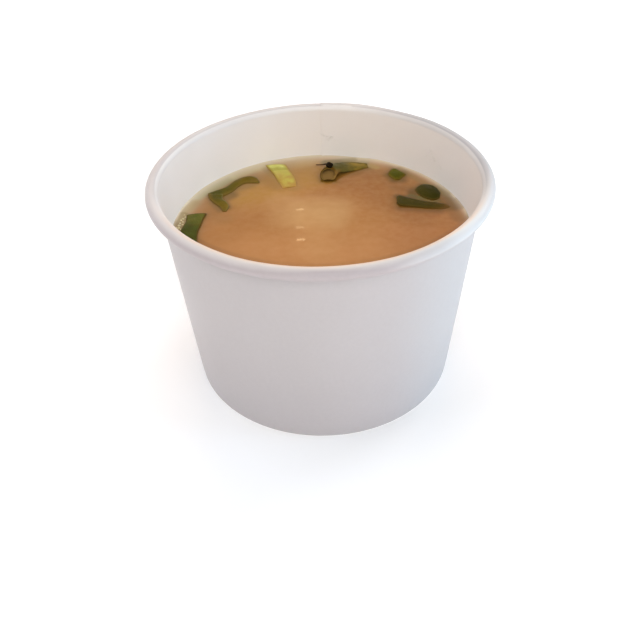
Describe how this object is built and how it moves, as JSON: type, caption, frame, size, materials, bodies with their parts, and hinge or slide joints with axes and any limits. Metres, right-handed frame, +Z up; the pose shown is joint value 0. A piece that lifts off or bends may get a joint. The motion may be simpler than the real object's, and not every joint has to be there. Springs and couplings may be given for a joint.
{
  "type": "miso soup in a paper cup",
  "caption": "Cloudy brown miso soup in a plain white paper cup with a rolled rim, slices of scallion floating along the far wall.",
  "frame": {"origin": "centre of the cup's foot, on the plane the cup stands on", "axes": "+Z up along the cup's axis; +Y towards the cup's glued side seam, with the scallion slices lying along the +Y half of the wall"},
  "size_m": [0.09, 0.09, 0.06],
  "materials": {
    "cup_paper": "satin",
    "miso_broth": "gloss",
    "scallion_green": "satin",
    "scallion_pale": "satin"
  },
  "bodies": {
    "root": {"side_wall": "cup_paper", "bottom_disc": "cup_paper", "broth": "miso_broth", "scallion_leaf": "scallion_green", "scallion_shred": "scallion_green", "scallion_stalk": "scallion_pale", "scallion_tube": "scallion_green", "scallion_chip": "scallion_green", "scallion_round": "scallion_green", "scallion_strip": "scallion_green"}
  },
  "joints": []
}
